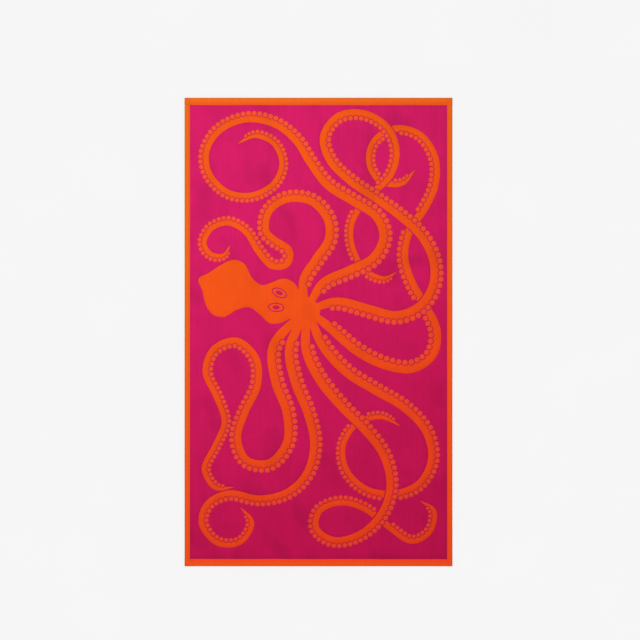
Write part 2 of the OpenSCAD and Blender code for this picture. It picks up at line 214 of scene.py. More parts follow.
class Arm:
    # an arm's middle line with its width and its row of suckers
    def __init__(self, side, first, points, steps):
        self.side, self.first, self.steps = side, first, steps
        self.place, self.left = smoothCurve(points, steps)
        gaps = np.linalg.norm(np.diff(self.place, axis=0), axis=1)
        self.reach = np.concatenate([[0], np.cumsum(gaps)])
        self.whole = self.reach[-1]

    def half(self, s):
        # narrow where it leaves the body, then full, slowly thinner, and pointed at the tip
        s = np.asarray(s, float)
        end = np.clip((self.whole - s) / octopus["tipLength"], 0, 1)
        return ((octopus["armRoot"] / 2 - 0.8) * (1 - 0.5 * np.exp(-s / 70))
                * (1 - octopus["thinning"] * s / self.whole) * end * (2 - end) + octopus["tip"])

    def index(self, point):
        return int(max(0, min(len(self.place) - 1, round(point * self.steps))))

    def band(self, a, b, grow):
        wide = (self.half(self.reach[a:b + 1]) + grow)[:, None]
        run, side = self.place[a:b + 1], self.left[a:b + 1]
        return np.concatenate([run + side * wide, (run - side * wide)[::-1]])

    def between(self, f, rows):
        f = max(0.0, min(f, len(rows) - 1.001))
        i = int(f)
        return rows[i] * (i + 1 - f) + rows[i + 1] * (f - i)

    def suckerAt(self, s):
        # middle, radius and place along the arm; a sucker bites into the arm's edge
        half = float(self.half(s))
        r = octopus["suckerMin"] + octopus["suckerGrowth"] * half
        off = half + max(0.45 * r, r + ringAt(r) - 0.8 * half)
        f = float(np.interp(s, self.reach, np.arange(len(self.reach))))
        normal = self.between(f, self.left)
        spot = self.between(f, self.place) + normal / np.linalg.norm(normal) * self.side * off
        return spot[0], spot[1], r, f / self.steps

    def suckers(self):
        row, s = [], self.first
        while s < self.whole - 30:
            last = self.suckerAt(s)
            row.append(last)
            s += last[2]
            while s < self.whole:
                ahead = self.suckerAt(s)
                short = ahead[2] + last[2] + ringAt(last[2]) - math.dist(ahead[:2], last[:2])
                if short < 0.05:
                    break
                s += max(0.2, 0.6 * short)
        return row


def ringAt(r):
    return octopus["ring"] * min(1, 0.25 + r / 18)


coarse = [Arm(side, first, points, 5) for side, first, points in armTable]
fine = [Arm(side, first, points, 12) for side, first, points in armTable]
allSuckers = [arm.suckers() for arm in coarse]


def coveredBy(sucker, crossing):
    # distance from a sucker's middle to the edge of the arm that lies over it
    upper = coarse[crossing[3]]
    a, b = upper.index(crossing[4] - 0.8), upper.index(crossing[5] + 0.8)
    spot = np.array(sucker[:2])
    gaps = np.linalg.norm(upper.place[a:b + 1] - spot, axis=1) - upper.half(upper.reach[a:b + 1])
    rims = [math.dist(sucker[:2], o[:2]) - o[2] for o in allSuckers[crossing[3]]
            if crossing[4] - 1 < o[3] < crossing[5] + 1]
    return min([gaps.min()] + rims)


def isHidden(k, sucker):
    return any(c[0] == k and c[1] - 1 < sucker[3] < c[2] + 1
               and coveredBy(sucker, c) < sucker[2] + 0.8 * octopus["ring"] for c in crossings)


def offFold(k, sucker):
    # the arms below the fold carry no sucker across it
    return k < 4 or sucker[1] < -sucker[2] - 1


suckers = [[q for q in row if not isHidden(k, q) and offFold(k, q)]
           for k, row in enumerate(allSuckers)]
print("drawing: suckers per arm", [len(row) for row in suckers])


def circleLoop(x, y, r, sides):
    turn = np.arange(sides) * 2 * math.pi / sides
    return np.stack([x + r * np.cos(turn), y + r * np.sin(turn)], 1)


def ovalLoop(eye, size, sides=40):
    turn = np.arange(sides) * 2 * math.pi / sides
    tilt = math.radians(eye[1])
    x, y = size[0] * np.cos(turn), size[1] * np.sin(turn)
    return np.stack([eye[0][0] + x * math.cos(tilt) - y * math.sin(tilt),
                     eye[0][1] + x * math.sin(tilt) + y * math.cos(tilt)], 1)


def inLoop(points, loop):
    # even-odd test of many points against one closed outline
    low, high = loop.min(0), loop.max(0)
    near = np.nonzero(((points >= low) & (points <= high)).all(1))[0]
    x, y = points[near, 0][:, None], points[near, 1][:, None]
    a, b = loop, np.roll(loop, -1, 0)
    crosses = (a[:, 1] > y) != (b[:, 1] > y)
    with np.errstate(divide="ignore", invalid="ignore"):
        at = a[:, 0] + (y - a[:, 1]) * (b[:, 0] - a[:, 0]) / (b[:, 1] - a[:, 1])
    inside = np.zeros(len(points), bool)
    inside[near] = (crosses & (x < at)).sum(1) % 2 == 1
    return inside


def armRuns(k):
    last = len(fine[k].place) - 1
    if k in runBreak:
        middle = runBreak[k] * fine[k].steps
        return [(0, middle), (middle, last)]
    return [(0, last)]


def cutters(k, run):
    # outlines of what lies over this run of the arm, with the ring of ground colour
    steps, loops = fine[k].steps, []
    for c in crossings:
        if c[0] == k and c[1] * steps >= run[0] and c[2] * steps <= run[1] + steps:
            upper = fine[c[3]]
            loops.append(upper.band(upper.index(c[4]), upper.index(c[5]), octopus["ring"]))
            loops += [circleLoop(q[0], q[1], q[2] + ringAt(q[2]), octopus["suckerSides"])
                      for q in suckers[c[3]] if c[4] < q[3] < c[5]]
    return loops


bodyLoop = smoothCurve(bodyPoints, 8, closed=True)[0]
# the arms' labels run on from "arm"; the second eye's have secondEye added
labels = {"field": 0, "body": 1, "ring": 2, "iris": 3, "pupil": 4, "sucker": 5, "between": 6,
          "arm": 10}
secondEye = 100


def labelPoints(points):
    label = np.zeros(len(points), int)
    ringLoops = [[circleLoop(q[0], q[1], q[2] + ringAt(q[2]), octopus["suckerSides"]) for q in row]
                 for row in suckers]
    inBody = inLoop(points, bodyLoop)
    for k in range(4, 8):
        inBody |= inLoop(points, fine[k].band(0, 2 * fine[k].steps, 0))
    inBody &= points[:, 1] > 0
    for k, arm in enumerate(fine):
        covered = np.zeros(len(points), bool)
        for a, b in armRuns(k):
            part = inLoop(points, arm.band(a, b, 0))
            for loop in cutters(k, (a, b)):
                part &= ~inLoop(points, loop)
            covered |= part
        nearSucker = np.zeros(len(points), bool)
        for loop in ringLoops[k]:
            nearSucker |= inLoop(points, loop)
        label[covered & nearSucker] = labels["between"]
        covered &= ~nearSucker
        covered &= ~inBody if k < 4 else points[:, 1] < 0
        label[covered] = labels["arm"] + k
    label[inBody] = labels["body"]
    for eye in range(len(eyes)):
        for name in ("ring", "iris", "pupil"):
            label[inLoop(points, ovalLoop(eyes[eye], eyeOvals[name]))] = labels[name] + secondEye * eye
    for row in suckers:
        for q in row:
            label[inLoop(points, circleLoop(q[0], q[1], q[2] + towel["groove"] / 2,
                                            octopus["suckerSides"]))] = labels["sucker"]
    return label


plan = {"spacing": 24, "foldSpacing": 12, "edgeClear": 3, "foldReach": 16, "foldStep": 1.6}
foldRows = np.arange(0, plan["foldReach"] + 0.1, plan["foldStep"])   # close rows where the cloth bends


def planMesh():
    # one triangulation of the pile's plan, with every outline as an edge of it
    loops = [np.array([(-1, -1), (1, -1), (1, 1), (-1, 1)]) * [fieldWidth / 2, fieldLength / 2]]
    loops.append(bodyLoop)
    for k, arm in enumerate(fine):
        for a, b in armRuns(k):
            loops.append(arm.band(a, b, 0))
            loops += cutters(k, (a, b))
        for q in suckers[k]:
            loops.append(circleLoop(q[0], q[1], q[2] + towel["groove"] / 2, octopus["suckerSides"]))
            loops.append(circleLoop(q[0], q[1], q[2] + ringAt(q[2]), octopus["suckerSides"]))
    for eye in eyes:
        loops += [ovalLoop(eye, size) for size in eyeOvals.values()]
    points, edges = [], []
    for loop in loops:
        start = len(points)
        points += [tuple(p) for p in loop]
        edges += [(start + i, start + (i + 1) % len(loop)) for i in range(len(loop))]
    outline = np.array(points)
    for y in foldRows:
        start = len(points)
        points += [(-fieldWidth / 2, y), (fieldWidth / 2, y)]
        edges.append((start, start + 1))
    spacing, fill = plan["spacing"], []
    for j, y in enumerate(np.arange(-fieldLength / 2 + spacing, fieldLength / 2 - 6, spacing)):
        for x in np.arange(-fieldWidth / 2 + (1 + j % 2) * spacing / 2, fieldWidth / 2 - 6, spacing):
            if not -2 < y < plan["foldReach"] + 2:
                fill.append((x, y))
    for y in foldRows:
        fill += [(x, y) for x in np.arange(-fieldWidth / 2 + 8, fieldWidth / 2 - 4,
                                           plan["foldSpacing"])]
    points += [p for p in fill if np.abs(outline - p).max(1).min() > plan["edgeClear"]]
    found = delaunay_2d_cdt([Vector(p) for p in points], edges, [], 0, 1e-4)
    place = np.array([tuple(v) for v in found[0]])
    faces = np.array([tuple(f) for f in found[2] if len(f) == 3])
    a, b, c = (place[faces[:, i]] for i in range(3))
    turned = (b - a)[:, 0] * (c - a)[:, 1] - (b - a)[:, 1] * (c - a)[:, 0] < 0
    faces[turned] = faces[turned][:, ::-1]
    middle = place[faces].mean(1)
    keep = (abs(middle[:, 0]) < fieldWidth / 2) & (abs(middle[:, 1]) < fieldLength / 2)
    return place, faces[keep], labelPoints(middle[keep])


planPlace, planFaces, planLabel = planMesh()
print("plan:", len(planPlace), "points,", len(planFaces), "triangles")


# how the cloth lies: shallow ripples and an uneven hem edge
lie = {"ripple": 0.75, "hemWander": 1.6, "puckerRise": 0.25}


def ripple(x, y):
    # millimetres of lift at a place on the plan, never below zero
    waves = (np.sin(x / 74 + 0.7 * np.sin(y / 190 + 1.3)) * np.cos(y / 128 + 0.4)
             + 0.7 * np.sin((x + 0.6 * y) / 97 + 2.1) + 0.45 * np.sin((0.8 * x - y) / 61 + 0.9)
             + 0.25 * np.sin(x / 31 + 1.1 * np.sin(y / 57)))
    return lie["ripple"] * np.clip(1 + waves / 2.4, 0, None)


def settle(obj):
    # moves a flat piece to how the cloth lies, and keeps the flat plan as its own UV map
    mesh = obj.data
    co = np.zeros(len(mesh.vertices) * 3)
    mesh.vertices.foreach_get("co", co)
    co = co.reshape(-1, 3) / mm
    x, y = co[:, 0].copy(), co[:, 1].copy()
    uv = mesh.uv_layers.get("weave") or mesh.uv_layers.new(name="weave")
    corner = np.zeros(len(mesh.loops), int)
    mesh.loops.foreach_get("vertex_index", corner)
    uv.data.foreach_set("uv", (co[corner][:, :2] * mm).astype(np.float32).ravel())
    inner = fieldLength / 2
    near = np.clip(1 - abs(abs(y) - inner) / 26, 0, 1)
    near = near * near * (3 - 2 * near)
    wander = lie["hemWander"] * (np.sin(x / 47 + np.sign(y)) + 0.6 * np.sin(x / 19 + 2 * np.sign(y))
                                 + 0.5 * np.sin(x / 131 + 0.4)) / 2
    co[:, 1] += near * wander
    hemX = np.clip((abs(x) - fieldWidth / 2) / 6, 0, 1)
    hemY = np.clip((abs(y) - fieldLength / 2) / 6, 0, 1)
    pucker = lie["puckerRise"] * (hemX * (1 + np.sin(y / 7.3 + np.sin(y / 41))) / 2
                                  + hemY * (1 + np.sin(x / 6.1 + np.sin(x / 37))) / 2)
    co[:, 2] += ripple(x, y) + pucker
    mesh.vertices.foreach_set("co", (co * mm).astype(np.float32).ravel())
    mesh.update()


# pile: closed slabs cut from the plan
pile = {"rim": 0.55, "rimDrop": 0.45}


def outlineEdges(faces, count):
    # the directed edges that only one triangle uses, with the region on their left
    start, end = faces, np.roll(faces, -1, 1)
    rim = ~np.isin(end * count + start, start * count + end)
    return start[rim], end[rim]


def splitTouching(faces):
    # a point where two corners of the region only touch becomes two points
    faces, origin = faces.copy(), list(range(len(planPlace)))
    a, b = outlineEdges(faces, len(origin))
    for v in np.nonzero(np.bincount(a) > 1)[0]:
        rows = np.nonzero((faces == v).any(1))[0]
        onward = {}
        for row in rows:
            i = list(faces[row]).index(v)
            onward[faces[row][(i + 1) % 3]] = (row, i, faces[row][(i + 2) % 3])
        reached = {item[2] for item in onward.values()}
        for fan, first in enumerate([p for p in onward if p not in reached]):
            while fan and first in onward:
                row, i, first = onward[first]
                faces[row, i] = len(origin)
            if fan:
                origin.append(v)
    return faces, np.array(origin)


def cross(p, q):
    return p[:, 0] * q[:, 1] - p[:, 1] * q[:, 0]


def heldBack(place, faces, move):
    # shortens the moves that would turn a triangle over
    def areas(p):
        return cross(p[faces[:, 1]] - p[faces[:, 0]], p[faces[:, 2]] - p[faces[:, 0]])
    before, scale = areas(place), np.ones((len(place), 1))
    for attempt in range(24):
        bad = areas(place + move * scale) < 0.12 * before
        scale[np.unique(faces[bad])] *= 0.6
    return move * scale


def inwardMoves(place, a, b, shared, width):
    # one move into the region for each outline point; along a shared edge where one ends there
    move = np.zeros((len(place), 2))
    before, after = {int(q): int(p) for p, q in zip(a, b)}, {int(p): int(q) for p, q in zip(a, b)}
    joinedEdge = {(int(p), int(q)) for p, q in zip(a[shared], b[shared])}
    for v in after:
        runIn, runOut = place[v] - place[before[v]], place[after[v]] - place[v]
        runIn, runOut = runIn / np.linalg.norm(runIn), runOut / np.linalg.norm(runOut)
        leftIn, leftOut = np.array([-runIn[1], runIn[0]]), np.array([-runOut[1], runOut[0]])
        sharedIn, sharedOut = (before[v], v) in joinedEdge, (v, after[v]) in joinedEdge
        if sharedIn and sharedOut:
            continue
        if sharedIn or sharedOut:
            way, left = (-runIn, leftOut) if sharedIn else (runOut, leftIn)
            move[v] = way * width / max(0.5, way @ left)
        else:
            both = (leftIn + leftOut) / max(0.3, 1 + leftIn @ leftOut)
            move[v] = both * width * min(1, 1.6 / np.linalg.norm(both))
    return move


def pileSlab(name, wanted, base, height, faceUp=True, joined=None):
    # wanted is a mask of plan triangles; the top has a rounded rim, the walls reach the base
    faces, origin = splitTouching(planFaces[wanted])
    used, faces = np.unique(faces, return_inverse=True)
    faces, whole = faces.reshape(-1, 3), origin[used]
    place, count = planPlace[whole], len(used)
    a, b = outlineEdges(faces, count)
    shared = np.zeros(len(a), bool)
    if joined is not None:
        other = planFaces[joined]
        shared = np.isin(whole[b] * len(planPlace) + whole[a],
                         other * len(planPlace) + np.roll(other, -1, 1))
    groove = towel["groove"] / 2
    move = heldBack(place, faces, inwardMoves(place, a, b, shared, groove + pile["rim"]))
    outer = place + move * groove / (groove + pile["rim"])
    top = base + height
    rimPoints = np.unique(np.concatenate([a[~shared], b[~shared]]))
    rimIndex = {int(v): 2 * count + i for i, v in enumerate(rimPoints)}
    extra = []
    level = np.ones(count)
    points = np.concatenate([np.column_stack([place + move, level * top]),
                             np.column_stack([outer, level * base]),
                             np.column_stack([outer, level * (top - pile["rimDrop"])])[rimPoints]])
    polygons = [tuple(f) for f in faces] + [tuple(f[::-1] + count) for f in faces]
    for p, q, isShared in zip(a.tolist(), b.tolist(), shared):
        if isShared:
            # a wall against the same pile has points of its own, so the top stays evenly lit
            wall = ([p + count, q + count] + [rimIndex[v] for v in (q,) if v in rimIndex]
                    + [q, p] + [rimIndex[v] for v in (p,) if v in rimIndex])
            first = len(points) + len(extra)
            polygons.append(list(range(first, first + len(wall))))
            extra += wall
        else:
            polygons.append((rimIndex[p], rimIndex[q], q, p))
            polygons.append((p + count, q + count, rimIndex[q], rimIndex[p]))
    points = np.concatenate([points, points[extra]])
    if not faceUp:
        points[:, 2] = 2 * base + height - points[:, 2]
        polygons = [face[::-1] for face in polygons]
    obj = addMesh(name, (points * mm).tolist(), [], [[int(v) for v in face] for face in polygons])
    settle(obj)
    return obj


baseLabel = planLabel % secondEye
fieldArea = np.isin(baseLabel, [labels["field"], labels["between"]])
print("pile: face")
faceField = pileSlab("facePileGround", fieldArea, faceZ, towel["facePile"])
# around a sucker both dyes show between the tufts; the slab's first faces are its top
mingled = np.zeros(len(faceField.data.polygons))
mingled[:fieldArea.sum()] = baseLabel[fieldArea] == labels["between"]
faceField.data.attributes.new("mingled", "FLOAT", "FACE").data.foreach_set("value", mingled)
isArm = baseLabel >= labels["arm"]
isBody = baseLabel == labels["body"]
faceParts = {"bodyPile": pileSlab("bodyPile", isBody, faceZ, towel["facePile"], joined=isArm)}
for k in range(8):
    own = baseLabel == labels["arm"] + k
    faceParts["armPile%d" % (k + 1)] = pileSlab(
        "armPile%d" % (k + 1), own, faceZ, towel["facePile"], joined=isBody | (isArm & ~own))
for eye in (0, 1):
    for part in ("ring", "iris", "pupil"):
        name = "eye%d%s" % (eye + 1, part.capitalize())
        faceParts[name] = pileSlab(name, planLabel == labels[part] + secondEye * eye,
                                   faceZ, towel["facePile"])
print("pile: back")
backGround = np.isin(baseLabel, [labels[part] for part in ("field", "between", "ring", "pupil")])
backField = pileSlab("backPileGround", backGround, 0, towel["backPile"], faceUp=False)
backSucker = baseLabel == labels["sucker"]
backFigure = pileSlab("backPileOctopus", isBody | isArm | backSucker | (baseLabel == labels["iris"]),
                      0, towel["backPile"], faceUp=False)


# ground cloth
def clothSheet(name):
    half = [towel["width"] / 2 - hemHeight / 2, towel["length"] / 2 - hemHeight / 2]
    xs = np.linspace(-half[0], half[0], 61)
    ys = np.unique(np.concatenate([np.linspace(-half[1], half[1], 97), foldRows]))
    work = bmesh.new()
    rows = {}
    for level, z in enumerate((clothZ, faceZ)):
        for j, y in enumerate(ys):
            for i, x in enumerate(xs):
                rows[level, j, i] = work.verts.new((x * mm, y * mm, z * mm))
    nx, ny = len(xs), len(ys)
    for j in range(ny - 1):
        for i in range(nx - 1):
            around = ((j, i), (j, i + 1), (j + 1, i + 1), (j + 1, i))
            work.faces.new([rows[(1,) + spot] for spot in around])
            work.faces.new([rows[(0,) + spot] for spot in around[::-1]])
    rim = ([(0, i) for i in range(nx)] + [(j, nx - 1) for j in range(1, ny)]
           + [(ny - 1, i) for i in range(nx - 2, -1, -1)] + [(j, 0) for j in range(ny - 2, 0, -1)])
    for a, b in zip(rim, rim[1:] + rim[:1]):
        work.faces.new([rows[(0,) + a], rows[(0,) + b], rows[(1,) + b], rows[(1,) + a]])
    work.normal_update()
    mesh = bpy.data.meshes.new(name)
    work.to_mesh(mesh)
    work.free()
    obj = addObject(name, mesh)
    settle(obj)
    return obj


groundCloth = clothSheet("groundCloth")


# geometry node trees: suckers, hems and stitches
def newTree(name, inputs):
    tree = bpy.data.node_groups.new(name, "GeometryNodeTree")
    tree.interface.new_socket("Geometry", in_out="INPUT", socket_type="NodeSocketGeometry")
    for label, kind, value in inputs:
        made = tree.interface.new_socket(label, in_out="INPUT", socket_type=kind)
        if value is not None:
            made.default_value = value
    tree.interface.new_socket("Geometry", in_out="OUTPUT", socket_type="NodeSocketGeometry")
    return tree, Board(tree)


def closeTree(tree, board, geometry, finish):
    solid = board.node("GeometryNodeRealizeInstances", None, {"Geometry": geometry})
    done = board.node("GeometryNodeSetMaterial", None, {"Geometry": solid, "Material": finish})
    tree.links.new(done.socket, tree.nodes.new("NodeGroupOutput").inputs[0])
    return tree


def applyTree(name, source, tree, values):
    # runs the tree on source and keeps its result as a plain mesh
    modifier = source.modifiers.new("maker", "NODES")
    modifier.node_group = tree
    for item in tree.interface.items_tree:
        if item.item_type == "SOCKET" and item.in_out == "INPUT" and item.name in values:
            modifier[item.identifier] = values[item.name]
    graph = bpy.context.evaluated_depsgraph_get()
    mesh = bpy.data.meshes.new_from_object(source.evaluated_get(graph), depsgraph=graph)
    source.modifiers.remove(modifier)
    bpy.data.objects.remove(source)
    mesh.name = name
    obj = addObject(name, mesh)
    settle(obj)
    return obj


def pathObject(name, points):
    return addMesh(name, points, [(i, i + 1) for i in range(len(points) - 1)])


def suckerTree():
    # sets one disc with a narrowed top on each spot of a row
    tree, board = newTree("suckerRow", [("Height", "NodeSocketFloat", 0.0014),
                                        ("Rim", "NodeSocketFloat", 0.06),
                                        ("Finish", "NodeSocketMaterial", None)])
    given = board.wires("NodeGroupInput")
    disc = board.node("GeometryNodeMeshCylinder", {"fill_type": "TRIANGLE_FAN"},
                      {"Vertices": octopus["suckerSides"], "Side Segments": 3, "Fill Segments": 2,
                       "Radius": 1.0, "Depth": 1.0})
    place = board.node("GeometryNodeInputPosition")
    x, y, z = board.wires("ShaderNodeSeparateXYZ", {0: place}).values()
    narrow = 1 - board.smooth(z, 0.1, 0.5) * given["Rim"]
    rounded = board.node("ShaderNodeCombineXYZ", None, {0: x * narrow, 1: y * narrow, 2: z + 0.5})
    shaped = board.node("GeometryNodeSetPosition", None, {"Geometry": disc, "Position": rounded})
    size = board.node("GeometryNodeInputNamedAttribute", {"data_type": "FLOAT"}, {"Name": "radius"})
    scale = board.node("ShaderNodeCombineXYZ", None, {0: size, 1: size, 2: given["Height"]})
    placed = board.node("GeometryNodeInstanceOnPoints", None,
                        {"Points": given["Geometry"], "Instance": shaped, "Scale": scale})
    return closeTree(tree, board, placed, given["Finish"])


def hemTree():
    # sweeps the folded section of the hem along its path
    tree, board = newTree("foldedHem", [("Section", "NodeSocketObject", None),
                                        ("Finish", "NodeSocketMaterial", None)])
    given = board.wires("NodeGroupInput")
    path = board.node("GeometryNodeMeshToCurve", None, {"Mesh": given["Geometry"]})
    flat = board.node("GeometryNodeSetCurveNormal", {"mode": "Z_UP"}, {"Curve": path})
    info = board.wires("GeometryNodeObjectInfo", {"Object": given["Section"]})
    section = board.node("GeometryNodeMeshToCurve", None, {"Mesh": info["Geometry"]})
    swept = board.node("GeometryNodeCurveToMesh", None,
                       {"Curve": flat, "Profile Curve": section, "Fill Caps": True})
    return closeTree(tree, board, swept, given["Finish"])


def stitchTree():
    # lays one short stitch after another along a seam
    tree, board = newTree("stitchRow", [("Pitch", "NodeSocketFloat", 0.0036),
                                        ("Length", "NodeSocketFloat", 0.0031),
                                        ("Thickness", "NodeSocketFloat", 0.0006),
                                        ("Slant", "NodeSocketFloat", 0.12),
                                        ("Finish", "NodeSocketMaterial", None)])
    given = board.wires("NodeGroupInput")
    path = board.node("GeometryNodeMeshToCurve", None, {"Mesh": given["Geometry"]})
    spots = board.node("GeometryNodeResampleCurve", {"mode": "LENGTH"},
                       {"Curve": path, "Length": given["Pitch"]})
    tangent = board.node("GeometryNodeInputTangent")
    turn = board.node("FunctionNodeAlignRotationToVector", {"axis": "X"}, {"Vector": tangent})
    slant = board.node("FunctionNodeRandomValue", {"data_type": "FLOAT"},
                       {2: given["Slant"] * -1, 3: given["Slant"], "Seed": 7}, out=1)
    lean = board.node("FunctionNodeEulerToRotation", None,
                      {0: board.node("ShaderNodeCombineXYZ", None, {2: slant})})
    turned = board.node("FunctionNodeRotateRotation", {"rotation_space": "LOCAL"},
                        {"Rotation": turn, "Rotate By": lean})
    bead = board.node("GeometryNodeMeshUVSphere", None, {"Segments": 6, "Rings": 4, "Radius": 0.5})
    size = board.node("ShaderNodeCombineXYZ", None,
                      {0: given["Length"], 1: given["Thickness"] * 1.5, 2: given["Thickness"]})
    placed = board.node("GeometryNodeInstanceOnPoints", None,
                        {"Points": spots, "Instance": bead, "Rotation": turned, "Scale": size})
    return closeTree(tree, board, placed, given["Finish"])


# finishes
# yarn colours; each Start colour is the top-left corner and each End colour the bottom-right corner,
# and the change between them is painted light falloff
dyeAndFalloff = {
    "magentaStart": (0.63, 0.0105, 0.122, 1), "magentaEnd": (0.55, 0.0050, 0.076, 1),
    "orangeStart": (0.86, 0.096, 0.006, 1), "orangeEnd": (0.86, 0.050, 0.010, 1),
    "suckerStart": (0.87, 0.088, 0.022, 1), "suckerEnd": (0.86, 0.050, 0.026, 1),
    "mingled": (0.62, 0.016, 0.026, 1),
    "hemStart": (0.82, 0.120, 0.005, 1), "hemEnd": (0.98, 0.072, 0.009, 1),
}


def newFinish(name):
    material = bpy.data.materials.new(name)
    material.use_nodes = True
    tree = material.node_tree
    tree.nodes.clear()
    board = Board(tree)
    shader = tree.nodes.new("ShaderNodeBsdfPrincipled")
    output = tree.nodes.new("ShaderNodeOutputMaterial")
    tree.links.new(shader.outputs[0], output.inputs[0])
    return material, board, shader


def planAxes(board):
    # the flat plan of the cloth, in metres, carried by the piece itself
    place = board.node("ShaderNodeUVMap", {"uv_map": "weave"})
    parts = board.wires("ShaderNodeSeparateXYZ", {0: place})
    return place, parts["X"], parts["Y"]


def stretched(board, x, y, sx, sy):
    return board.node("ShaderNodeCombineXYZ", None, {0: x * sx, 1: y * sy})


def paintedFalloff(board, x, y, start, end):
    # painted light falloff: the colour runs from the cloth's top-left corner (start) to its
    # bottom-right corner (end), in place of the light's fall across the cloth
    run = board.smooth(x * 0.3 - y * 0.55, -0.6, 0.6)
    return board.blendColour(run, start, end)


def shade(board, colour, amount):
    # darkens or lightens a colour by a factor around one
    grey = board.node("ShaderNodeCombineXYZ", None, {0: amount, 1: amount, 2: amount})
    return board.node("ShaderNodeVectorMath", {"operation": "MULTIPLY"}, {0: colour, 1: grey})


# how far each thing changes the pile's tone, and how deep its surface is
tone = {"level": 1.022, "warp": 0.035, "thread": 0.07, "swept": 0.07, "patch": 0.14, "fuzz": 0.30,
        "tuft": 0.07, "depth": 0.0009}


def pileFinish(name, start, end, nap=1.0, loops=False, mixed=None):
    material, board, shader = newFinish(name)
    place, x, y = planAxes(board)
    # colour with painted light falloff from corner to corner
    colour = paintedFalloff(board, x, y, start, end)
    if mixed:
        mingle = board.node("ShaderNodeAttribute", {"attribute_name": "mingled"}, None, out="Fac")
        colour = board.blendColour(mingle, colour, mixed)
    warp = board.noise(stretched(board, x, y, 70, 2.5), 1.0, 2.0, 0.5)       # soft runs of warp
    thread = board.noise(stretched(board, x, y, 520, 30), 1.0, 2.0, 0.5)     # single warp ends
    swept = board.noise(stretched(board, x, y, 9, 7), 1.0, 3.0, 0.55)        # nap brushed by hand
    patch = board.noise(stretched(board, x + y * 0.2, y, 8, 6), 1.0, 1.5, 0.5)   # nap pressed flat
    fuzz = board.noise(stretched(board, x, y, 1150, 620), 1.0, 3.0, 0.7)     # tips of the cut pile
    tuft = board.node("ShaderNodeTexVoronoi", {"voronoi_dimensions": "2D", "feature": "F1"},
                      {"Vector": stretched(board, x, y, 1, 0.8 if loops else 0.95),
                       "Scale": 420 if loops else 760, "Randomness": 0.75})
    lean = (tone["level"] + (board.smooth(warp, 0.36, 0.64) - 0.5) * (tone["warp"] * nap)
            + (thread - 0.5) * (tone["thread"] * nap)
            + (board.smooth(swept, 0.35, 0.65) - 0.5) * (tone["swept"] * nap)
            - board.smooth(patch, 0.52, 0.82) * (tone["patch"] * nap)
            + (fuzz - 0.5) * tone["fuzz"] - tuft * tone["tuft"])
    board.feed(shader.inputs["Base Color"], shade(board, colour, lean))
    board.feed(shader.inputs["Roughness"], board.math("ADD", 0.86, tuft * 0.12))
    shader.inputs["Specular IOR Level"].default_value = 0.08
    shader.inputs["Sheen Weight"].default_value = 0.1
    shader.inputs["Sheen Roughness"].default_value = 0.45
    shader.inputs["Sheen Tint"].default_value = start
    height = (1 - tuft) * (0.5 if loops else 0.12) + fuzz * 1.3 + thread * 0.2 + swept * 1.2
    board.raised(shader, height, 0.8, tone["depth"])
    return material


def hemFinish(name, start, end):
    material, board, shader = newFinish(name)
    place, x, y = planAxes(board)
    # colour with painted light falloff from corner to corner
    colour = paintedFalloff(board, x, y, start, end)
    rib = board.bands(place, "X", 260, 1.2, 1.0)
    weft = board.bands(place, "Y", 300, 1.0, 1.0)
    slub = board.noise(stretched(board, x, y, 60, 60), 1.0, 3.0, 0.6)
    # distance from the folded edge: painted shade on the rolled fold, redder toward the pile
    inward = board.math("MINIMUM", towel["width"] / 2 * mm - board.math("ABSOLUTE", x),
                        towel["length"] / 2 * mm - board.math("ABSOLUTE", y))
    edge = 1 - board.smooth(inward + (slub - 0.5) * 0.004, 0.0015, 0.0065)
    inner = board.smooth(inward, 0.004, 0.024)
    tint = board.blendColour(inner, (1.03, 1.20, 0.85, 1), (1.0, 0.84, 1.5, 1))
    colour = board.node("ShaderNodeVectorMath", {"operation": "MULTIPLY"}, {0: colour, 1: tint})
    side = board.smooth(board.math("ABSOLUTE", x), 0.470, 0.482)     # the long hems are a shade deeper
    # edge darkens the outer few millimetres: painted shade where the fold rolls away from the light
    amount = 1 + (slub - 0.5) * 0.10 + (rib * weft - 0.5) * 0.08 - edge * 0.17 - side * 0.05
    board.feed(shader.inputs["Base Color"], shade(board, colour, amount))
    board.feed(shader.inputs["Roughness"], 0.78 + slub * 0.14)
    shader.inputs["Specular IOR Level"].default_value = 0.1
    shader.inputs["Sheen Weight"].default_value = 0.05
    shader.inputs["Sheen Tint"].default_value = start
    board.raised(shader, rib * weft + slub * 0.6, 0.5, 0.0003)
    return material


def clothFinish(name, colour):
    material, board, shader = newFinish(name)
    place, x, y = planAxes(board)
    over = board.bands(place, "X", 330, 0.6)
    under = board.bands(place, "Y", 300, 0.6)
    slub = board.noise(stretched(board, x, y, 90, 30), 1.0, 2.0, 0.5)
    board.feed(shader.inputs["Base Color"],
               shade(board, board.blendColour(slub, colour, (0.62, 0.06, 0.08, 1)),
                     0.9 + over * under * 0.2))
    board.feed(shader.inputs["Roughness"], 0.85 + slub * 0.1)
    board.raised(shader, over * under, 0.5, 0.0003)
    return material


def threadFinish(name, start, end):
    material, board, shader = newFinish(name)
    place, x, y = planAxes(board)
    ply = board.noise(stretched(board, x, y, 900, 900), 1.0, 2.0, 0.5)
    # colour with painted light falloff from corner to corner
    board.feed(shader.inputs["Base Color"],
               shade(board, paintedFalloff(board, x, y, start, end), 0.86 + ply * 0.22))
    board.feed(shader.inputs["Roughness"], 0.55 + ply * 0.2)
    shader.inputs["Sheen Weight"].default_value = 0.2
    board.raised(shader, ply, 0.4, 0.0002)
    return material


